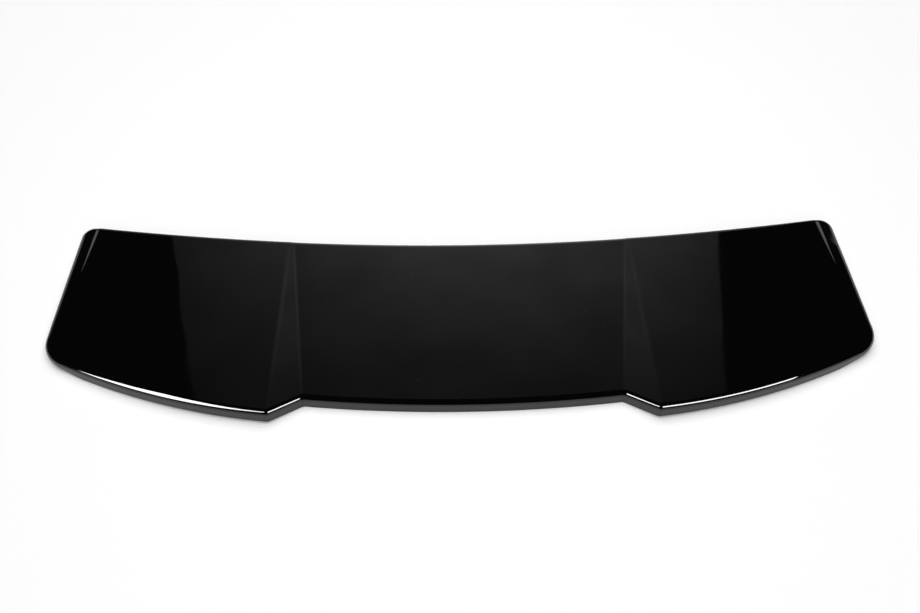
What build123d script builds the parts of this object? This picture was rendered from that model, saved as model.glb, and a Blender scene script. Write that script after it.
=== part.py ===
from build123d import *
import math
import os

# Cap for a car's roof spoiler: one thermoformed sheet, open underneath and along its front edge.
# Millimetres. X runs across the car, Y points forward and Z up, so the trailing edge is at -Y.

# Plan outline. Lengths along Y are taken from the middle of the trailing edge.
REAR_WIDTH = 1160.0
FRONT_WIDTH = 1124.0
CENTRE_DEPTH = 276.0
FRONT_SWEEP = 67.5
REAR_CORNER_Y = 94.0
TIP_SPAN = 522.0
TIP_REACH = 14.5
NOTCH_SPAN = 431.0
NOTCH_DEPTH = 27.0
LOBE_BULGE = 17.0
FRONT_CORNER_R = 18.0
REAR_CORNER_R = 48.0
TIP_R = 10.0
NOTCH_R = 10.0

# Sheet, and the lip turned down along the trailing edge, which tapers to a low lip along the sides.
WALL = 4.0
RIM_R = 8.0
LIP_HEIGHT = 20.0
SIDE_LIP_HEIGHT = 8.0
LIP_TAPER_ANGLE = 9.5
REST_TRIM = 0.4

# Height of the side edge at the front corner, and the crown across the car.
FRONT_SIDE_HEIGHT = 13.0
FRONT_CROWN = 27.0
REAR_CROWN = 4.0

# Two folds lift each outer lobe above the centre panel.
FOLD_SPAN = 483.0
FOLD_GAP = 6.5
FOLD_R = 40.0
REAR_RAISE = 5.8
FRONT_RAISE = 0.7

# Front corners folded down, from just inside the corner's rounding back along the side edge.
CORNER_FOLD_GAP = 3.5
CORNER_FOLD_RUN = 183.0
CORNER_FOLD_ANGLE = 12.0
CORNER_FOLD_R = 12.0

# How far the cutting bodies run past the part.
OVERRUN = 12.0

front_x = FRONT_WIDTH / 2
front_y = CENTRE_DEPTH + FRONT_SWEEP
rear_x = REAR_WIDTH / 2
tip_x = TIP_SPAN / 2
tip_y = -TIP_REACH
notch_x = NOTCH_SPAN / 2
notch_y = tip_y + NOTCH_DEPTH
fold_x = FOLD_SPAN / 2
fold_y = CENTRE_DEPTH


def between(y, start, end):
    """Value at y on the straight line through two (value, y) points."""
    return start[0] + (end[0] - start[0]) * (y - start[1]) / (end[1] - start[1])


def arc_radius(half_chord, rise):
    return (half_chord**2 + rise**2) / (2 * rise)


# Angles of the front corner in plan, which set how far its rounding reaches along the front edge.
front_radius = arc_radius(front_x, FRONT_SWEEP)
front_slope = math.asin(front_x / front_radius)
side_lean = math.atan((rear_x - front_x) / (front_y - REAR_CORNER_Y))
corner_reach = FRONT_CORNER_R / math.tan((math.pi / 2 - front_slope + side_lean) / 2)
corner_fold_x = front_x - corner_reach * math.cos(front_slope) - CORNER_FOLD_GAP
corner_fold_y = front_y - CORNER_FOLD_RUN


def side_x(y):
    return between(y, (rear_x, REAR_CORNER_Y), (front_x, front_y))


def side_z(y):
    return between(y, (LIP_HEIGHT, REAR_CORNER_Y), (FRONT_SIDE_HEIGHT, front_y))


def front_edge_y(x):
    return CENTRE_DEPTH + front_radius - math.sqrt(front_radius**2 - x**2)


def inner_fold_x(y):
    return between(min(y, fold_y), (notch_x, notch_y), (fold_x, fold_y))


def outer_fold_x(y):
    return between(min(y, fold_y), (tip_x, tip_y), (fold_x + FOLD_GAP, fold_y))


def lobe_z(x, y):
    """Top of a lobe: an arc across the car that comes down to the side edge."""
    crown = between(y, (REAR_CROWN, tip_y), (FRONT_CROWN, front_y))
    radius = arc_radius(side_x(y), crown)
    return side_z(y) + crown - radius + math.sqrt(radius**2 - x**2)


def centre_z(x, y):
    """Top of the centre panel, which lies below the lobes by the rise between the folds."""
    return lobe_z(x, y) - between(y, (REAR_RAISE, tip_y), (FRONT_RAISE, fold_y))


def mirrored(points):
    return [(-a, b) for a, b in points]


def section(y):
    """Everything under the top surface in the plane at y."""
    inner, outer = inner_fold_x(y), outer_fold_x(y)
    end = side_x(y) + OVERRUN
    low = -2 * LIP_HEIGHT
    panel = [(x, centre_z(x, y)) for x in (-inner, 0, inner)]
    lobe = [(x, lobe_z(x, y)) for x in (outer, (outer + end) / 2, end)]
    lobe_l = mirrored(lobe)
    with BuildSketch(Plane((0, y, 0), x_dir=(1, 0, 0), z_dir=(0, -1, 0))) as face:
        with BuildLine():
            ThreePointArc(*panel)
            Line(panel[2], lobe[0])
            ThreePointArc(*lobe)
            Polyline(lobe[2], (end, low), (-end, low), lobe_l[2])
            ThreePointArc(*reversed(lobe_l))
            Line(lobe_l[0], panel[0])
        make_face()
        fillet([v for v in face.vertices() if abs(v.X) < (outer + end) / 2], FOLD_R)
    return face.sketch


def outline():
    """Plan outline with rounded corners."""
    front = (front_x, front_y)
    rear = (rear_x, REAR_CORNER_Y)
    tip = (tip_x, tip_y)
    notch = (notch_x, notch_y)
    front_l, rear_l, tip_l, notch_l = mirrored([front, rear, tip, notch])
    corners = [(front, FRONT_CORNER_R), (rear, REAR_CORNER_R), (tip, TIP_R), (notch, NOTCH_R)]
    with BuildSketch() as plan:
        with BuildLine():
            ThreePointArc(front_l, (0, CENTRE_DEPTH), front)
            Line(front, rear)
            SagittaArc(rear, tip, LOBE_BULGE)
            Line(tip, notch)
            ThreePointArc(notch, (0, 0), notch_l)
            Line(notch_l, tip_l)
            SagittaArc(tip_l, rear_l, LOBE_BULGE)
            Line(rear_l, front_l)
        make_face()
        for (x, y), radius in corners:
            pair = [plan.vertices().sort_by_distance((s * x, y, 0))[0] for s in (-1, 1)]
            fillet(pair, radius)
    return plan.sketch


def edge_plane(side, start, end, angle):
    """Plane through two points near one side edge, given for the right, that rises outward by an angle."""
    start, end = [Vector(side * x, y, z) for x, y, z in (start, end)]
    along = (end - start).normalized()
    outward = Vector(abs(along.Y) * side, -along.X * side * math.copysign(1, along.Y), 0)
    normal = along.cross(outward + Vector(0, 0, math.tan(math.radians(angle))))
    if normal.Z < 0:
        normal = -normal
    return Plane(start, x_dir=along, z_dir=normal)


def half_space(plane, align):
    """Big box on one side of a plane."""
    size = 3 * REAR_WIDTH
    return plane * Box(size, size, size, align=(Align.CENTER, Align.CENTER, align))


def fold_corners(body):
    """Fold both front corners down along straight lines from the front edge to the side edges."""
    start_y = front_edge_y(corner_fold_x)
    start = (corner_fold_x, start_y, lobe_z(corner_fold_x, start_y))
    end = (side_x(corner_fold_y), corner_fold_y, side_z(corner_fold_y))
    for side in (-1, 1):
        body -= half_space(edge_plane(side, start, end, -CORNER_FOLD_ANGLE), Align.MIN)
        middle = [(a + b) / 2 for a, b in zip(start, end)]
        crease = body.edges().sort_by_distance((side * middle[0], middle[1], middle[2]))[0]
        body = fillet(crease, CORNER_FOLD_R)
    return body


def rim_edges(block):
    """Edges where the upright walls of a block meet its top."""
    walls = [f for f in block.faces() if abs(f.normal_at().Z) < 0.01]
    edges = [e for wall in walls for e in wall.edges()]
    return [e for e in edges if abs(e.tangent_at(0.5).Z) < 0.9 and e.center().Z > WALL]


def spoiler_shell():
    plan = outline()
    rest_z = centre_z(0, 0) - LIP_HEIGHT + REST_TRIM
    crowned = loft([section(front_y), section(fold_y), section(tip_y - OVERRUN)], ruled=True)
    top = fold_corners(crowned)
    block = Pos(0, 0, rest_z) * extrude(plan, 3 * LIP_HEIGHT) & top
    block = fillet(rim_edges(block), RIM_R)

    inside = extrude(offset(plan, -WALL), 3 * LIP_HEIGHT)
    core = inside & Pos(0, 0, -WALL) * top
    core = fillet(rim_edges(core), RIM_R - WALL)
    mouth = Pos(0, front_y, 0) * Box(2 * corner_fold_x, front_y, 6 * LIP_HEIGHT)
    hollow = core + (mouth & Pos(0, 0, -WALL) * top)
    shell = block - hollow
    shell -= Pos(0, 0, -LIP_HEIGHT) * crowned
    for side in (-1, 1):
        rear = (rear_x, REAR_CORNER_Y, LIP_HEIGHT - SIDE_LIP_HEIGHT)
        front = (front_x, front_y, rest_z)
        shell -= half_space(edge_plane(side, rear, front, LIP_TAPER_ANGLE), Align.MAX)
    return shell


def on_floor(body):
    """Move a body so that the bottom centre of its box is the origin."""
    box = body.bounding_box()
    return Pos(-box.center().X, -box.center().Y, -box.min.Z) * body


os.makedirs("parts", exist_ok=True)
export_step(on_floor(spoiler_shell()), "parts/spoiler_shell.step")
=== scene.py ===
import math

import bpy
import numpy as np
from mathutils import Matrix, Vector
from mathutils.geometry import delaunay_2d_cdt


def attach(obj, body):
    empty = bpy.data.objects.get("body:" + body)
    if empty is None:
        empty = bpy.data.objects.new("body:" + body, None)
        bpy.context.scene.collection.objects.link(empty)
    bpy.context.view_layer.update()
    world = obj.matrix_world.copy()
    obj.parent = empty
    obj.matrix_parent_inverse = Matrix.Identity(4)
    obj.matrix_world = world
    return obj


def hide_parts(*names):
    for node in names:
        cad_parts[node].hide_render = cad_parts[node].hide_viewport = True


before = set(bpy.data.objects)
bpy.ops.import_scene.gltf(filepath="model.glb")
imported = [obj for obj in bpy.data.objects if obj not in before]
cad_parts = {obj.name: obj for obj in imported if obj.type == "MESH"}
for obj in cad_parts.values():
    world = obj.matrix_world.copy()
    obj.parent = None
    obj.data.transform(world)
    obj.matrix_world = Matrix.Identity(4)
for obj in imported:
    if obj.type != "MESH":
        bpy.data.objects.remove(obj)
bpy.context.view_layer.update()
scene = bpy.context.scene
scene.view_settings.view_transform = "Standard"

# Sizes of the part in millimetres. Lengths along Y are taken from the middle of the trailing edge.
REAR_WIDTH = 1160.0
FRONT_WIDTH = 1124.0
CENTRE_DEPTH = 276.0
FRONT_SWEEP = 67.5
REAR_CORNER_Y = 94.0
TIP_SPAN = 522.0
TIP_REACH = 14.5
NOTCH_SPAN = 431.0
NOTCH_DEPTH = 27.0
LOBE_BULGE = 17.0
FRONT_CORNER_R = 18.0
REAR_CORNER_R = 48.0
TIP_R = 10.0
NOTCH_R = 10.0
WALL = 4.0
RIM_R = 8.0
FOOT_R = 0.7
INNER_R = RIM_R - WALL
LIP_HEIGHT = 20.0
SIDE_LIP_HEIGHT = 8.0
LIP_TAPER_ANGLE = 9.5
REST_TRIM = 0.4
FRONT_SIDE_HEIGHT = 13.0
FRONT_CROWN = 27.0
REAR_CROWN = 4.0
FOLD_SPAN = 483.0
FOLD_GAP = 6.5
FOLD_R = 40.0
REAR_RAISE = 5.8
FRONT_RAISE = 0.7
CORNER_FOLD_GAP = 3.5

# Soft detail of the folds: a small step at each crease, and front corner creases that taper out.
INNER_STEP, INNER_STEP_HALF = 0.35, 2.4
OUTER_STEP, OUTER_STEP_HALF = 0.5, 3.4
STEP_SHARE = 0.3
SOFT_SHARE = 0.45
CORNER_CREASE = ((537.0, 337.0), (560.0, 161.0))
CORNER_SLOPE = 0.12
CORNER_SOFT = 2.5
CORNER_STEP = 0.8
CORNER_STEP_HALF = 4.2
CORNER_STEP_END = 0.58
FINEST_HALF = 0.5

# Mesh, in millimetres: spacing of the points, and the number of rings round each rounding.
OUTLINE_STEP = 2.2
SMALL_ARC, SMALL_ARC_STEP = 100.0, 0.09
TOP_STEP, BACK_STEP = 4.5, 9.0
CREASE_STEP = 2.0
CORNER_CREASE_POINTS = 110
CREASE_OFFSETS = (-1.25, -0.8, -0.4, 0.0, 0.4, 0.8, 1.25)
CREASE_GAP = 0.55
RIM_GAP = 1.4
RIM_RINGS, WALL_RINGS, FOOT_RINGS = 12, 2, 4
INNER_FOOT_RINGS, INNER_RINGS = 3, 4
SMALLEST_WALL, SMALLEST_INNER_WALL = 0.02, 0.05
NORMAL_STEP = 0.05
CHUNK = 1000

# Where the lip gives way to the open front edge, and how far in the back's rings lie there.
LIP_FADE = (-1.0, 7.0)
LIP_SHARE = 0.6
FRONT_INSET, FRONT_INSET_STEP = 3.0, 0.4

# Polished face of the sheet. Scales are features per metre, and heights are in metres.
SHEET_IOR = 1.5
SHEET_COLOUR = (0.0011, 0.0011, 0.0012, 1)
SHEET_ROUGHNESS = (0.022, 0.06)
SMUDGE_SCALE, WIPE_SCALE = 14.0, 60.0
MARK_RANGE = (0.12, 0.42)
SPECK_SCALE = 90.0
SPECK_EDGE = (0.03, 0.055)
SPECK_THRESHOLD = 0.82
SPECK_COLOUR = (0.06, 0.06, 0.058, 1)
WAVE_SCALE, WAVE_HEIGHT = 9.0, 0.0004
PEEL_SCALE, PEEL_HEIGHT = 420.0, 0.0000022

# Bare back of the sheet.
BACK_DARK = (0.009, 0.009, 0.01, 1)
BACK_LIGHT = (0.018, 0.018, 0.019, 1)
BACK_ROUGHNESS = (0.38, 0.55)
FLOW_SCALE = 25.0
GRAIN_SCALE, GRAIN_HEIGHT = 1400.0, 0.00008

# Middle part of a noise's range, where most of its values lie.
NOISE_RANGE = (0.3, 0.7)

# Stage, in metres. Tones are brightnesses, where one is white.
FLOOR_SIZE = 60.0
FLOOR_DROP = 0.0003
FLOOR_TONE = 0.8
FLOOR_TOP_UP = 0.23
FLOOR_FADE = (0.8, 2.0)
ROOM_TONE = 0.012
HORIZON_TILT = 0.1
HORIZON = (0.05, 0.1)
BACKDROP_Y = 0.9
BACKDROP = ((-0.76, 0.0), (0.64, 0.0), (0.88, 2.2), (-0.76, 2.2))
GLOW_CENTRE = (0.064, BACKDROP_Y, 0.046)
GLOW_SPREAD = (0.56, 1.0, 1.068)
GLOW_BASE = 0.055
GLOW_PEAK = 1.34
CLOUD_SCALE = 4.5
CLOUD_TONES = (0.84, 1.16)
CEILING_PLACE, CEILING_SIZE, CEILING_TONE = (0.0, 0.3, 2.6), (3.4, 3.4), 2.6
FRONT_PLACE, FRONT_SIZE, FRONT_TONE = (0.0, -2.6, 1.6), (2.8, 1.6), 1.2

# Cards that only reflections show. Corners are across and up in a card's own plane.
CARD_TONE = 30.0
CARD_DISTANCE = 1.8
LEFT_LOBE = (-0.4, -0.13, 0.02)
LEFT_CARD_DIRECTION = (-62.0, 40.0)
LEFT_CARD_TOP = ((-0.10, 0.44), (-0.30, 0.98), (0.66, 0.58), (0.90, 0.60), (1.12, 0.42), (1.06, 0.0))
LEFT_CARD_FOOT = ((0.99, -0.19), (0.71, -0.55), (0.17, -0.77), (0.02, -0.62), (0.05, -0.31))
RIGHT_LOBE = (0.37, -0.14, 0.02)
RIGHT_CARD_DIRECTION = (48.0, 32.0)
RIGHT_CARD = ((-0.57, 0.56), (0.25, 0.15), (0.08, -0.36), (-0.86, -0.03))
FLAG_START = (0.42, -0.122)
FLAG_END = (1.1, 0.1)
FLAG_HEIGHTS = (0.03, 0.6)
REAR_CARD_PLACE = (1.72, 1.34, 0.66)
REAR_CARD_TARGET = (0.56, 0.1, 0.0)
REAR_CARD_SIZE = (0.45, 0.5)
REAR_CARD_TONE = 1.1

# Camera: lens and sensor in millimetres, place in metres, and yaw, pitch and roll in degrees.
LENS, SENSOR_WIDTH = 50, 36
CAMERA_PLACE = (-0.03046, -1.14179, 1.41557)
CAMERA_TURN = (1.4404, 50.5876, 0.3763)


def arc_radius(half_chord, rise):
    return (half_chord**2 + rise**2) / (2 * rise)


front_x = FRONT_WIDTH / 2
front_y = CENTRE_DEPTH + FRONT_SWEEP
rear_x = REAR_WIDTH / 2
tip_x = TIP_SPAN / 2
tip_y = -TIP_REACH
notch_x = NOTCH_SPAN / 2
notch_y = tip_y + NOTCH_DEPTH
fold_x = FOLD_SPAN / 2
fold_y = CENTRE_DEPTH

# Angles of the front corner in plan, which set how far its rounding reaches along the front edge.
front_radius = arc_radius(front_x, FRONT_SWEEP)
front_slope = math.asin(front_x / front_radius)
side_lean = math.atan((rear_x - front_x) / (front_y - REAR_CORNER_Y))
corner_reach = FRONT_CORNER_R / math.tan((math.pi / 2 - front_slope + side_lean) / 2)
corner_fold_x = front_x - corner_reach * math.cos(front_slope) - CORNER_FOLD_GAP


def between(y, start, end):
    """Value at y on the straight line through two (value, y) points."""
    return start[0] + (end[0] - start[0]) * (y - start[1]) / (end[1] - start[1])


def side_x(y):
    return between(y, (rear_x, REAR_CORNER_Y), (front_x, front_y))


def side_z(y):
    return between(y, (LIP_HEIGHT, REAR_CORNER_Y), (FRONT_SIDE_HEIGHT, front_y))


def lobe_z(x, y):
    """Top of a lobe: an arc across the car that comes down to the side edge."""
    crown = between(y, (REAR_CROWN, tip_y), (FRONT_CROWN, front_y))
    radius = arc_radius(side_x(y), crown)
    return side_z(y) + crown - radius + np.sqrt(radius**2 - x**2)


def panel_fall(y):
    """How far the centre panel lies below the lobes."""
    return between(y, (REAR_RAISE, tip_y), (FRONT_RAISE, fold_y))


def fold_lines(y):
    """Distances of the inner and the outer fold from the middle."""
    y = np.minimum(y, fold_y)
    inner = between(y, (notch_x, notch_y), (fold_x, fold_y))
    outer = between(y, (tip_x, tip_y), (fold_x + FOLD_GAP, fold_y))
    return inner, outer


def ramp(x, soft):
    """Zero for negative x and x for positive x, with a round turn between -soft and soft."""
    return np.where(np.abs(x) < soft, (x + soft) ** 2 / (4 * soft), np.maximum(x, 0))


def smoothstep(a, b, x):
    """Smooth step from zero at a to one at b."""
    t = np.clip((x - a) / (b - a), 0, 1)
    return t * t * (3 - 2 * t)


def edge_plane_z(x, y, start, end, angle):
    """Height of a plane through two points near the right side edge, rising outward by an angle."""
    along = np.subtract(end, start)
    along /= np.linalg.norm(along)
    outward = np.array([abs(along[1]), -along[0] * math.copysign(1, along[1]), 0.0])
    normal = np.cross(along, outward + np.array([0, 0, math.tan(math.radians(angle))]))
    return start[2] - (normal[0] * (x - start[0]) + normal[1] * (y - start[1])) / normal[2]


def crowned_z(x, y):
    """Top surface without the folded corners."""
    x = np.abs(x)
    inner, outer = fold_lines(y)
    fall = panel_fall(y)
    inner_step = np.minimum(INNER_STEP, STEP_SHARE * fall)
    outer_step = np.minimum(OUTER_STEP, STEP_SHARE * fall)
    slope = (fall - inner_step - outer_step) / (outer - inner)
    soft = np.minimum(FOLD_R * slope / 2, (outer - inner) * SOFT_SHARE)
    facet = slope * (ramp(x - inner, soft) - ramp(x - outer, soft))
    inner_rise = inner_step * smoothstep(-INNER_STEP_HALF, INNER_STEP_HALF, x - inner)
    outer_rise = outer_step * smoothstep(-OUTER_STEP_HALF, OUTER_STEP_HALF, x - outer)
    return lobe_z(x, y) - fall + facet + inner_rise + outer_rise


def corner_fade(along):
    """One at the front end of a corner crease, down to zero where it has run out."""
    return np.maximum(1 - along / CORNER_STEP_END, 0)


def top_z(x, y):
    """Top surface with the front corners turned down past creases that taper out."""
    x = np.abs(x)
    (x0, y0), (x1, y1) = CORNER_CREASE
    length = math.hypot(x1 - x0, y1 - y0)
    along = np.clip((y0 - y) / (y0 - y1), 0, 1)
    out = ((x - x0) * (y0 - y1) + (y - y0) * (x1 - x0)) / length
    fade = corner_fade(along)
    half = np.maximum(CORNER_STEP_HALF * fade, FINEST_HALF)
    fold = CORNER_SLOPE * np.sqrt(1 - along) * ramp(out, CORNER_SOFT)
    return crowned_z(x, y) - fold - CORNER_STEP * fade * smoothstep(-half, half, out)


rest_z = float(lobe_z(0.0, 0.0)) - panel_fall(0.0) - LIP_HEIGHT + REST_TRIM


def foot_z(x, y):
    """Height of the lip's trimmed edge."""
    rear = (rear_x, REAR_CORNER_Y, LIP_HEIGHT - SIDE_LIP_HEIGHT)
    front = (front_x, front_y, rest_z)
    side = edge_plane_z(np.abs(x), y, rear, front, LIP_TAPER_ANGLE)
    return np.maximum(np.maximum(crowned_z(x, y) - LIP_HEIGHT, side), rest_z)


def top_normal(x, y):
    step = NORMAL_STEP
    dx = (top_z(x + step, y) - top_z(x - step, y)) / (2 * step)
    dy = (top_z(x, y + step) - top_z(x, y - step)) / (2 * step)
    normal = np.stack([-dx, -dy, np.ones_like(dx)], -1)
    return normal / np.linalg.norm(normal, axis=-1, keepdims=True)


class Arc:
    def __init__(self, centre, radius, start, sweep):
        self.centre = np.array(centre, float)
        self.radius, self.start, self.sweep = radius, start, sweep
        self.length = abs(sweep) * radius

    def at(self, t):
        a = self.start + self.sweep * np.asarray(t)
        return self.centre + self.radius * np.stack([np.cos(a), np.sin(a)], -1)

    def tangent(self, t):
        a = self.start + self.sweep * np.asarray(t)
        return np.stack([-np.sin(a), np.cos(a)], -1) * np.sign(self.sweep)


class Line:
    def __init__(self, a, b):
        self.a, self.b = np.array(a, float), np.array(b, float)
        self.length = np.linalg.norm(self.b - self.a)

    def at(self, t):
        return self.a + (self.b - self.a) * np.asarray(t)[..., None]

    def tangent(self, t):
        return np.broadcast_to((self.b - self.a) / self.length, np.asarray(t).shape + (2,))


def arc_about(centre, radius, start, end):
    """The shorter arc about a centre between two points on it."""
    first = math.atan2(*(start - centre)[::-1])
    last = math.atan2(*(end - centre)[::-1])
    sweep = (last - first + math.pi) % (2 * math.pi) - math.pi
    return Arc(centre, radius, first, sweep)


def arc_through(a, b, c):
    """Arc from a through b to c."""
    a, b, c = [np.array(p, float) for p in (a, b, c)]
    m = 2 * np.array([b - a, c - a])
    centre = np.linalg.solve(m, [b @ b - a @ a, c @ c - a @ a])
    return arc_about(centre, np.linalg.norm(a - centre), a, c)


def trimmed(curve, t0, t1):
    if isinstance(curve, Line):
        return Line(curve.at(t0), curve.at(t1))
    return Arc(curve.centre, curve.radius, curve.start + curve.sweep * t0, curve.sweep * (t1 - t0))


def rounded(first, second, radius, rounds=40, step=1e-6):
    """Trim two curves that meet in a corner and return them with the arc that rounds it."""
    turn = np.cross(first.tangent(1.0), second.tangent(0.0))
    side = 1 if turn > 0 else -1

    def beside(curve, t):
        tangent = curve.tangent(t)
        return curve.at(t) + radius * np.array([-tangent[1], tangent[0]]) * side

    t = np.array([1.0, 0.0])
    for _ in range(rounds):
        gap = beside(first, t[0]) - beside(second, t[1])
        columns = []
        for k, curve, sign in ((0, first, 1), (1, second, -1)):
            change = beside(curve, t[k] + step) - beside(curve, t[k] - step)
            columns.append(sign * change / (2 * step))
        t = t - np.linalg.solve(np.array(columns).T, gap)
    corner = arc_about(beside(first, t[0]), radius, first.at(t[0]), second.at(t[1]))
    return trimmed(first, 0.0, t[0]), corner, trimmed(second, t[1], 1.0)


def half_outline():
    """Right half of the plan outline, from the middle of the trailing edge to that of the front edge."""
    front, rear = (front_x, front_y), (rear_x, REAR_CORNER_Y)
    tip, notch = (tip_x, tip_y), (notch_x, notch_y)
    chord = np.subtract(rear, tip)
    outward = np.array([chord[1], -chord[0]]) / np.linalg.norm(chord)
    bulge = (np.array(tip) + rear) / 2 + outward * LOBE_BULGE
    trailing = arc_through((-notch_x, notch_y), (0, 0), notch)
    leading = arc_through(front, (0, CENTRE_DEPTH), (-front_x, front_y))
    joined = [trimmed(trailing, 0.5, 1)]
    others = [
        (Line(notch, tip), NOTCH_R),
        (arc_through(tip, bulge, rear), TIP_R),
        (Line(rear, front), REAR_CORNER_R),
        (trimmed(leading, 0, 0.5), FRONT_CORNER_R),
    ]
    for curve, radius in others:
        joined += rounded(joined.pop(), curve, radius)
    return joined


def outline_points(spacing):
    """Points round the plan outline, counter-clockwise from above, with the outward direction at each."""
    points, tangents = [], []
    curves = half_outline()
    for curve in curves:
        fine = spacing
        if isinstance(curve, Arc) and curve.radius <= SMALL_ARC:
            fine = min(spacing, curve.radius * SMALL_ARC_STEP)
        count = max(2, math.ceil(curve.length / fine))
        t = np.arange(count) / count
        points.append(curve.at(t))
        tangents.append(curve.tangent(t))
    points.append(curves[-1].at(np.array([1.0])))
    tangents.append(curves[-1].tangent(np.array([1.0])))
    points, tangents = np.concatenate(points), np.concatenate(tangents)
    points = np.concatenate([points, points[-2:0:-1] * [-1, 1]])
    tangents = np.concatenate([tangents, tangents[-2:0:-1] * [1, -1]])
    return points, np.stack([tangents[:, 1], -tangents[:, 0]], -1)


def crease_points():
    """Plan points in rows along the folds and the corner creases, on both sides."""
    rows = []
    y = np.arange(tip_y, front_y, CREASE_STEP)
    inner, outer = fold_lines(y)
    t = np.linspace(0, 1, CORNER_CREASE_POINTS)
    corner = np.outer(1 - t, CORNER_CREASE[0]) + np.outer(t, CORNER_CREASE[1])
    half = np.maximum(CORNER_STEP_HALF * corner_fade(t), 2 * FINEST_HALF)
    for offset in CREASE_OFFSETS:
        for fold, reach in ((inner, INNER_STEP_HALF), (outer, OUTER_STEP_HALF)):
            x = fold + offset * reach
            rows += [np.stack([x, y], -1), np.stack([-x, y], -1)]
        row = corner + np.stack([offset * half, 0 * half], -1)
        rows += [row, row * [-1, 1]]
    return np.concatenate(rows)


def grid_points(spacing, creases):
    """Staggered grid of plan points that leaves room for the creases."""
    xs = np.arange(-rear_x, rear_x + spacing, spacing)
    ys = np.arange(tip_y, front_y + spacing, spacing)
    gx, gy = np.meshgrid(xs, ys)
    gx = gx + (np.arange(len(ys)) % 2)[:, None] * spacing / 2
    grid = np.stack([gx.ravel(), gy.ravel()], -1)
    kept = []
    for start in range(0, len(grid), CHUNK):
        part = grid[start:start + CHUNK]
        gap = ((part[:, None, :] - creases[None, ::2, :]) ** 2).sum(-1).min(1)
        kept.append(part[gap > (spacing * CREASE_GAP) ** 2])
    return np.concatenate(kept)


def inside_ring(points, ring, margin):
    """Those of the points that lie inside a closed ring, and further than the margin from its points."""
    a, b = ring, np.roll(ring, -1, 0)
    kept = []
    for start in range(0, len(points), CHUNK):
        part = points[start:start + CHUNK]
        gap = ((part[:, None, :] - ring[None]) ** 2).sum(-1).min(1)
        crossed = (a[None, :, 1] > part[:, None, 1]) != (b[None, :, 1] > part[:, None, 1])
        with np.errstate(divide="ignore", invalid="ignore"):
            at = (b[:, 0] - a[:, 0]) * (part[:, None, 1] - a[:, 1]) / (b[:, 1] - a[:, 1]) + a[:, 0]
        inside = (crossed & (part[:, None, 0] < at)).sum(1) % 2 == 1
        kept.append(part[inside & (gap > margin**2)])
    return np.concatenate(kept)


def filled(ring, spacing, margin, merge=1e-5):
    """Triangles that fill a closed ring of plan points, with new points inside it."""
    creases = crease_points()
    inner = inside_ring(np.concatenate([grid_points(spacing, creases), creases]), ring, margin)
    n = len(ring)
    points = [Vector(p) for p in np.concatenate([ring, inner])]
    edges = [(i, (i + 1) % n) for i in range(n)]
    out = delaunay_2d_cdt(points, edges, [list(range(n))], 1, merge)
    verts = np.array([tuple(v) for v in out[0]])
    return verts, [tuple(f) for f in out[2]], out[3]


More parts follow.
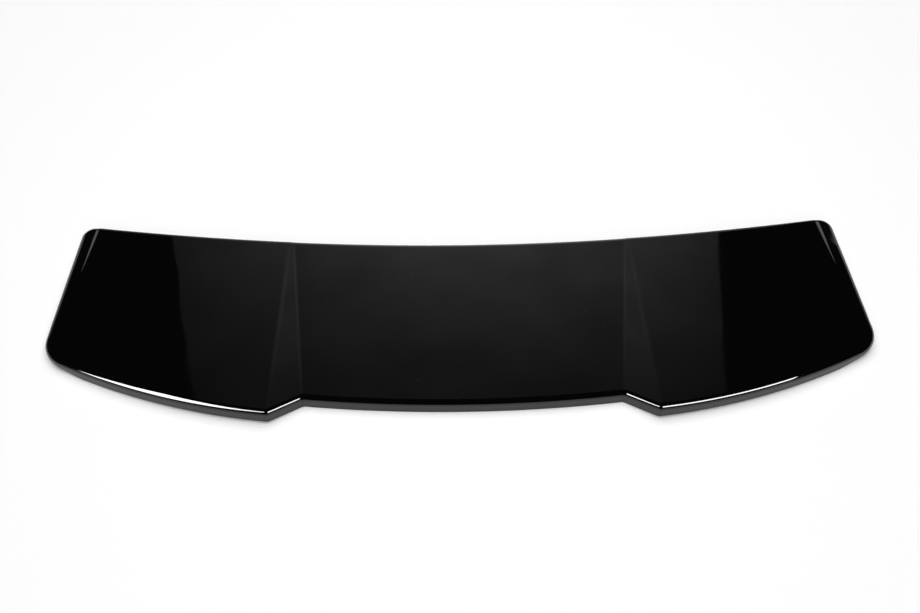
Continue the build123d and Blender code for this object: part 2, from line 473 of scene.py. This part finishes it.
def shell_rings():
    """Rings of points and normals over the rim, the lip and its inside, and the number of outer steps."""
    points, out = outline_points(OUTLINE_STEP)
    n = len(points)
    x, y = points.T
    # One along the lip, zero along the open front edge.
    side = smoothstep(corner_fold_x + LIP_FADE[0], corner_fold_x + LIP_FADE[1], np.abs(x))
    lip = np.maximum(side, (y < front_y * LIP_SHARE).astype(float))
    base = top_z(x, y)
    slope = (top_z(*(points - out * RIM_R).T) - base) / RIM_R
    centre = base + slope * RIM_R - RIM_R * np.sqrt(1 + slope**2)
    up = np.array([0, 0, 1.0])
    down = np.broadcast_to(-up, (n, 3))
    out3 = np.column_stack([out, np.zeros(n)])
    rings, normals = [], []

    def add(d, z, normal):
        flat = points - out * np.broadcast_to(d, n)[:, None]
        rings.append(np.column_stack([flat, np.broadcast_to(z, n)]))
        normals.append(normal / np.linalg.norm(normal, axis=1, keepdims=True))

    def level(d):
        px, py = (points - out * d).T
        return foot_z(px, py) * lip + (top_z(px, py) - WALL) * (1 - lip)

    foot_out, foot_in = level(0.0), level(WALL)
    low = foot_out + FOOT_R
    end = math.pi - np.arcsin(np.clip((low + SMALLEST_WALL - centre) / RIM_R, 0, 1))
    for k in range(RIM_RINGS + 1):
        share = k / RIM_RINGS
        a = (math.pi / 2 + np.arctan(slope)) * (1 - share) + end * share
        normal = -np.cos(a)[:, None] * out3 + np.sin(a)[:, None] * up
        add(RIM_R + RIM_R * np.cos(a), centre + RIM_R * np.sin(a), normal)
    normals[0] = top_normal(*rings[0].T[:2])
    edge = RIM_R + RIM_R * np.cos(end)
    high = rings[-1][:, 2]
    for k in range(1, WALL_RINGS + 1):
        add(edge, high + (low - high) * k / WALL_RINGS, out3)
    for k in range(1, FOOT_RINGS + 1):
        a = k / FOOT_RINGS * math.pi / 2
        normal = math.cos(a) * out3 - math.sin(a) * up
        add(edge + FOOT_R * (1 - math.cos(a)), foot_out + FOOT_R * (1 - math.sin(a)), normal)
    outer_steps = len(rings) - 1

    def add_inner(d_lip, z_lip, n_lip, d_front):
        px, py = (points - out * d_front).T
        d = d_lip * lip + d_front * (1 - lip)
        z = z_lip * lip + (top_z(px, py) - WALL) * (1 - lip)
        add(d, z, n_lip * lip[:, None] + down * (1 - lip)[:, None])

    def inset(k):
        return FRONT_INSET + FRONT_INSET_STEP * k

    ceiling = top_z(*(points - out * (WALL + INNER_R)).T) - WALL
    add_inner(WALL - FOOT_R, foot_in, down, inset(0))
    for k in range(1, INNER_FOOT_RINGS + 1):
        a = k / INNER_FOOT_RINGS * math.pi / 2
        normal = -math.sin(a) * out3 - math.cos(a) * up
        d, z = WALL - FOOT_R * (1 - math.sin(a)), foot_in + FOOT_R * (1 - math.cos(a))
        add_inner(d, z, normal, inset(k))
    wall_foot = foot_in + FOOT_R
    wall_top = np.maximum(ceiling - INNER_R, wall_foot + SMALLEST_INNER_WALL)
    for k in range(1, WALL_RINGS + 1):
        z = wall_foot + (wall_top - wall_foot) * k / WALL_RINGS
        add_inner(WALL, z, -out3, inset(INNER_FOOT_RINGS + k))
    last = inset(INNER_FOOT_RINGS + WALL_RINGS)
    for k in range(1, INNER_RINGS + 1):
        a = k / INNER_RINGS * math.pi / 2
        normal = -math.cos(a) * out3 - math.sin(a) * up
        d, z = WALL + INNER_R * (1 - math.cos(a)), wall_top + (ceiling - wall_top) * math.sin(a)
        add_inner(d, z, normal, last + (WALL + INNER_R - last) * k / INNER_RINGS)
    return rings, normals, outer_steps


def shell_mesh():
    """Vertices, faces, normals and the number of outer faces of the shell, in millimetres."""
    rings, normals, outer_steps = shell_rings()
    n, count = len(rings[0]), len(rings)
    verts, norms = [np.concatenate(rings)], [np.concatenate(normals)]
    bands = []
    for r in range(count - 1):
        for i in range(n):
            j = (i + 1) % n
            bands.append((r * n + i, (r + 1) * n + i, (r + 1) * n + j, r * n + j))
    total = count * n
    caps = []
    for base_ring, spacing, back in ((0, TOP_STEP, False), (count - 1, BACK_STEP, True)):
        flat, tris, origin = filled(rings[base_ring][:, :2], spacing, RIM_GAP)
        index, new = [], []
        for v, sources in enumerate(origin):
            on_ring = [s for s in sources if s < n]
            if on_ring:
                index.append(base_ring * n + on_ring[0])
            else:
                index.append(total + len(new))
                new.append(flat[v])
        new = np.array(new)
        normal = top_normal(*new.T)
        verts.append(np.column_stack([new, top_z(*new.T) - (WALL if back else 0)]))
        norms.append(-normal if back else normal)
        total += len(new)
        mapped = [tuple(index[v] for v in tri) for tri in tris]
        caps.append([tri[::-1] for tri in mapped] if back else mapped)
    faces = caps[0] + bands + caps[1]
    return np.concatenate(verts), faces, np.concatenate(norms), len(caps[0]) + outer_steps * n


def make_shell():
    verts, faces, normals, outer = shell_mesh()
    low, high = verts.min(0), verts.max(0)
    verts = (verts - [0, (low[1] + high[1]) / 2, rest_z]) / 1000
    mesh = bpy.data.meshes.new("spoiler_cap")
    mesh.from_pydata(verts.tolist(), [], faces)
    mesh.validate()
    mesh.materials.append(gloss_black())
    mesh.materials.append(underside_black())
    index = np.zeros(len(mesh.polygons), np.int32)
    index[outer:] = 1
    mesh.polygons.foreach_set("material_index", index)
    mesh.polygons.foreach_set("use_smooth", np.ones(len(mesh.polygons), bool))
    mesh.normals_split_custom_set_from_vertices(normals.tolist())
    piece = bpy.data.objects.new("spoiler_cap", mesh)
    scene.collection.objects.link(piece)
    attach(piece, "root")
    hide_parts("spoiler_shell")


def new_material(name):
    material = bpy.data.materials.new(name)
    material.use_nodes = True
    nodes = material.node_tree.nodes
    return material, nodes, material.node_tree.links, nodes["Principled BSDF"]


def noise(nodes, links, where, scale, detail=2.0, rough=0.5):
    """Noise over the object's own coordinates, in features per metre."""
    texture = nodes.new("ShaderNodeTexNoise")
    texture.inputs["Scale"].default_value = scale
    texture.inputs["Detail"].default_value = detail
    texture.inputs["Roughness"].default_value = rough
    links.new(where.outputs["Object"], texture.inputs["Vector"])
    return texture.outputs["Fac"]


def remap(nodes, links, value, source, target):
    """Value taken from one range to another, and held at its ends."""
    node = nodes.new("ShaderNodeMapRange")
    for name, number in zip(("From Min", "From Max", "To Min", "To Max"), (*source, *target)):
        node.inputs[name].default_value = number
    links.new(value, node.inputs["Value"])
    return node.outputs["Result"]


def math_node(nodes, links, operation, a, b=None):
    node = nodes.new("ShaderNodeMath")
    node.operation = operation
    for socket, value in zip(node.inputs, (a, b)):
        if isinstance(value, (int, float)):
            socket.default_value = value
        elif value is not None:
            links.new(value, socket)
    return node.outputs[0]


def mix_colours(nodes, links, factor, first, second):
    node = nodes.new("ShaderNodeMix")
    node.data_type = "RGBA"
    node.inputs["A"].default_value = first
    node.inputs["B"].default_value = second
    links.new(factor, node.inputs["Factor"])
    return node.outputs["Result"]


def bump(nodes, links, height, distance, normal=None):
    node = nodes.new("ShaderNodeBump")
    node.inputs["Distance"].default_value = distance
    links.new(height, node.inputs["Height"])
    if normal:
        links.new(normal, node.inputs["Normal"])
    return node.outputs["Normal"]


def gloss_black():
    """Polished black sheet: slow waves, fine orange peel, faint wiping marks and a few specks of dust."""
    material, nodes, links, shader = new_material("gloss_black_plastic")
    where = nodes.new("ShaderNodeTexCoord")
    shader.inputs["IOR"].default_value = SHEET_IOR
    smudge = noise(nodes, links, where, SMUDGE_SCALE, detail=3.0)
    wipe = noise(nodes, links, where, WIPE_SCALE, detail=4.0, rough=0.65)
    marks = math_node(nodes, links, "MULTIPLY", smudge, wipe)
    links.new(remap(nodes, links, marks, MARK_RANGE, SHEET_ROUGHNESS), shader.inputs["Roughness"])
    specks = nodes.new("ShaderNodeTexVoronoi")
    specks.inputs["Scale"].default_value = SPECK_SCALE
    links.new(where.outputs["Object"], specks.inputs["Vector"])
    dot = remap(nodes, links, specks.outputs["Distance"], SPECK_EDGE, (1.0, 0.0))
    sparse = math_node(nodes, links, "GREATER_THAN", specks.outputs["Color"], SPECK_THRESHOLD)
    dust = math_node(nodes, links, "MULTIPLY", dot, sparse)
    links.new(mix_colours(nodes, links, dust, SHEET_COLOUR, SPECK_COLOUR), shader.inputs["Base Color"])
    waves = bump(nodes, links, noise(nodes, links, where, WAVE_SCALE, detail=1.0), WAVE_HEIGHT)
    peel = bump(nodes, links, noise(nodes, links, where, PEEL_SCALE, detail=1.0), PEEL_HEIGHT, waves)
    links.new(peel, shader.inputs["Normal"])
    return material


def underside_black():
    """Bare back of the sheet: satin, with a fine grain and soft flow marks."""
    material, nodes, links, shader = new_material("satin_black_underside")
    where = nodes.new("ShaderNodeTexCoord")
    flow = noise(nodes, links, where, FLOW_SCALE, detail=4.0)
    links.new(mix_colours(nodes, links, flow, BACK_DARK, BACK_LIGHT), shader.inputs["Base Color"])
    links.new(remap(nodes, links, flow, NOISE_RANGE, BACK_ROUGHNESS), shader.inputs["Roughness"])
    grain = noise(nodes, links, where, GRAIN_SCALE)
    links.new(bump(nodes, links, grain, GRAIN_HEIGHT), shader.inputs["Normal"])
    return material


def seen_directly(nodes, links):
    """One for camera, glossy and transmission rays, zero for the light that falls on the object."""
    path = nodes.new("ShaderNodeLightPath")
    seen = math_node(nodes, links, "MAXIMUM", path.outputs["Is Camera Ray"], path.outputs["Is Glossy Ray"])
    return math_node(nodes, links, "MAXIMUM", seen, path.outputs["Is Transmission Ray"])


def mix_shaders(nodes, links, factor, first, second):
    node = nodes.new("ShaderNodeMixShader")
    for socket, value in zip(node.inputs, (factor, first.outputs[0], second.outputs[0])):
        links.new(value, socket)
    return node


def floor_material():
    """Pale floor that keeps the shadow, evened out to white, plain white far away and clear from below."""
    material, nodes, links, shader = new_material("pale_floor")
    nodes.remove(shader)
    where = nodes.new("ShaderNodeTexCoord")
    reach = nodes.new("ShaderNodeVectorMath")
    reach.operation = "LENGTH"
    links.new(where.outputs["Object"], reach.inputs[0])
    far = remap(nodes, links, reach.outputs["Value"], FLOOR_FADE, (0.0, 1.0))
    seen = seen_directly(nodes, links)
    diffuse = nodes.new("ShaderNodeBsdfDiffuse")
    diffuse.inputs["Color"].default_value = (FLOOR_TONE, FLOOR_TONE, FLOOR_TONE, 1)
    glow = nodes.new("ShaderNodeEmission")
    links.new(math_node(nodes, links, "MULTIPLY", seen, FLOOR_TOP_UP), glow.inputs["Strength"])
    near = nodes.new("ShaderNodeAddShader")
    links.new(diffuse.outputs[0], near.inputs[0])
    links.new(glow.outputs[0], near.inputs[1])
    white = nodes.new("ShaderNodeEmission")
    links.new(seen, white.inputs["Strength"])
    lit = mix_shaders(nodes, links, far, near, white)
    clear = nodes.new("ShaderNodeBsdfTransparent")
    facing = nodes.new("ShaderNodeNewGeometry")
    sides = mix_shaders(nodes, links, facing.outputs["Backfacing"], lit, clear)
    links.new(sides.outputs[0], nodes["Material Output"].inputs["Surface"])
    return material


def backdrop_material():
    """Soft round glow on a dark backdrop, with faint clouds."""
    material, nodes, links, shader = new_material("glowing_backdrop")
    nodes.remove(shader)
    where = nodes.new("ShaderNodeTexCoord")
    vector = where.outputs["Object"]
    for operation, amount in (("SUBTRACT", GLOW_CENTRE), ("DIVIDE", GLOW_SPREAD)):
        node = nodes.new("ShaderNodeVectorMath")
        node.operation = operation
        links.new(vector, node.inputs[0])
        node.inputs[1].default_value = amount
        vector = node.outputs[0]
    square = nodes.new("ShaderNodeVectorMath")
    square.operation = "DOT_PRODUCT"
    links.new(vector, square.inputs[0])
    links.new(vector, square.inputs[1])
    fall = math_node(nodes, links, "MULTIPLY", square.outputs["Value"], -1.0)
    bell = math_node(nodes, links, "MULTIPLY", math_node(nodes, links, "EXPONENT", fall), GLOW_PEAK)
    tone = math_node(nodes, links, "ADD", bell, GLOW_BASE)
    cloud = remap(nodes, links, noise(nodes, links, where, CLOUD_SCALE, detail=3.0), NOISE_RANGE, CLOUD_TONES)
    glow = nodes.new("ShaderNodeEmission")
    links.new(math_node(nodes, links, "MULTIPLY", tone, cloud), glow.inputs["Strength"])
    links.new(glow.outputs[0], nodes["Material Output"].inputs["Surface"])
    return material


def even_tone(name, tone):
    """Material of one brightness all over."""
    material, nodes, links, shader = new_material(name)
    nodes.remove(shader)
    glow = nodes.new("ShaderNodeEmission")
    glow.inputs["Strength"].default_value = tone
    links.new(glow.outputs[0], nodes["Material Output"].inputs["Surface"])
    return material


def stage_plane(name, corners, material):
    mesh = bpy.data.meshes.new(name)
    mesh.from_pydata(corners, [], [tuple(range(len(corners)))])
    mesh.materials.append(material)
    card = bpy.data.objects.new(name, mesh)
    scene.collection.objects.link(card)
    return card


def area_light(name, place, target, size, radiance):
    """Rectangular lamp of a given brightness that faces a point."""
    light = bpy.data.lights.new(name, "AREA")
    light.shape = "RECTANGLE"
    light.size, light.size_y = size
    light.energy = radiance * math.pi * size[0] * size[1]
    lamp = bpy.data.objects.new(name, light)
    facing = (Vector(target) - Vector(place)).to_track_quat("-Z", "Y").to_matrix().to_4x4()
    lamp.matrix_world = Matrix.Translation(place) @ facing
    lamp.visible_camera = False
    scene.collection.objects.link(lamp)
    return lamp


def room_lamp(name, place, size, radiance):
    """Large soft lamp for the floor and the matt surfaces, which no gloss shows."""
    area_light(name, place, (0, 0, 0), size, radiance).visible_glossy = False


def reflected_only(card):
    """Show a card in reflections, and nowhere else."""
    card.visible_camera = False
    card.visible_diffuse = False
    card.visible_shadow = False


def highlight_card(name, target, direction, corners):
    """Bright card that faces a point from a compass direction, zero straight behind the car, and a height."""
    turn, rise = [math.radians(a) for a in direction]
    across = Vector((math.cos(turn), math.sin(turn), 0))
    away = Vector((math.sin(turn) * math.cos(rise), -math.cos(turn) * math.cos(rise), math.sin(rise)))
    up = away.cross(across)
    centre = Vector(target) + away * CARD_DISTANCE
    corners = [centre + across * u + up * v for u, v in corners]
    reflected_only(stage_plane(name, corners, even_tone(name, CARD_TONE)))


def dark_flag(name, side):
    """Card as dark as the room above an outer lobe, that keeps a highlight card out of the front corner."""
    low, high = FLAG_HEIGHTS
    start, end = [(side * x, y) for x, y in (FLAG_START, FLAG_END)]
    corners = [(*start, low), (*end, low), (*end, high), (*start, high)]
    reflected_only(stage_plane(name, corners, even_tone(name, ROOM_TONE)))


def rear_card(side):
    """Softer card behind one front corner, for the side rim and the corner crease."""
    place, target = [(side * x, y, z) for x, y, z in (REAR_CARD_PLACE, REAR_CARD_TARGET)]
    area_light("rear_card", place, target, REAR_CARD_SIZE, REAR_CARD_TONE).visible_diffuse = False


def studio_world():
    """Dark room above, white low down and higher up at the back, and white where the camera sees it."""
    world = bpy.data.worlds.new("studio")
    world.use_nodes = True
    nodes, links = world.node_tree.nodes, world.node_tree.links
    where = nodes.new("ShaderNodeTexCoord")
    split = nodes.new("ShaderNodeSeparateXYZ")
    links.new(where.outputs["Generated"], split.inputs[0])
    path = nodes.new("ShaderNodeLightPath")
    behind = math_node(nodes, links, "MULTIPLY", split.outputs["Y"], HORIZON_TILT)
    height = math_node(nodes, links, "SUBTRACT", split.outputs["Z"], behind)
    low = remap(nodes, links, height, HORIZON, (1.0, ROOM_TONE))
    tone = math_node(nodes, links, "MAXIMUM", low, path.outputs["Is Camera Ray"])
    links.new(tone, nodes["Background"].inputs["Color"])
    scene.world = world


def photo_camera():
    lens = bpy.data.cameras.new("camera")
    lens.lens = LENS
    lens.sensor_width = SENSOR_WIDTH
    yaw, pitch, roll = [math.radians(a) for a in CAMERA_TURN]
    ahead = Vector((math.sin(yaw) * math.cos(pitch), math.cos(yaw) * math.cos(pitch), -math.sin(pitch)))
    level = Vector((math.cos(yaw), -math.sin(yaw), 0))
    upright = level.cross(ahead)
    right = level * math.cos(roll) + upright * math.sin(roll)
    up = upright * math.cos(roll) - level * math.sin(roll)
    camera = bpy.data.objects.new("camera", lens)
    turn = Matrix((right, up, -ahead)).transposed().to_4x4()
    camera.matrix_world = Matrix.Translation(CAMERA_PLACE) @ turn
    scene.collection.objects.link(camera)
    scene.camera = camera


make_shell()
reach = FLOOR_SIZE / 2
corners = [(-reach, -reach), (reach, -reach), (reach, reach), (-reach, reach)]
stage_plane("floor", [(x, y, -FLOOR_DROP) for x, y in corners], floor_material())
backdrop = stage_plane("backdrop", [(x, BACKDROP_Y, z) for x, z in BACKDROP], backdrop_material())
reflected_only(backdrop)
room_lamp("ceiling_softbox", CEILING_PLACE, CEILING_SIZE, CEILING_TONE)
room_lamp("front_softbox", FRONT_PLACE, FRONT_SIZE, FRONT_TONE)
highlight_card("left_card", LEFT_LOBE, LEFT_CARD_DIRECTION, LEFT_CARD_TOP + LEFT_CARD_FOOT)
highlight_card("right_card", RIGHT_LOBE, RIGHT_CARD_DIRECTION, RIGHT_CARD)
for name, side in (("left_flag", -1), ("right_flag", 1)):
    dark_flag(name, side)
    rear_card(side)
studio_world()
photo_camera()
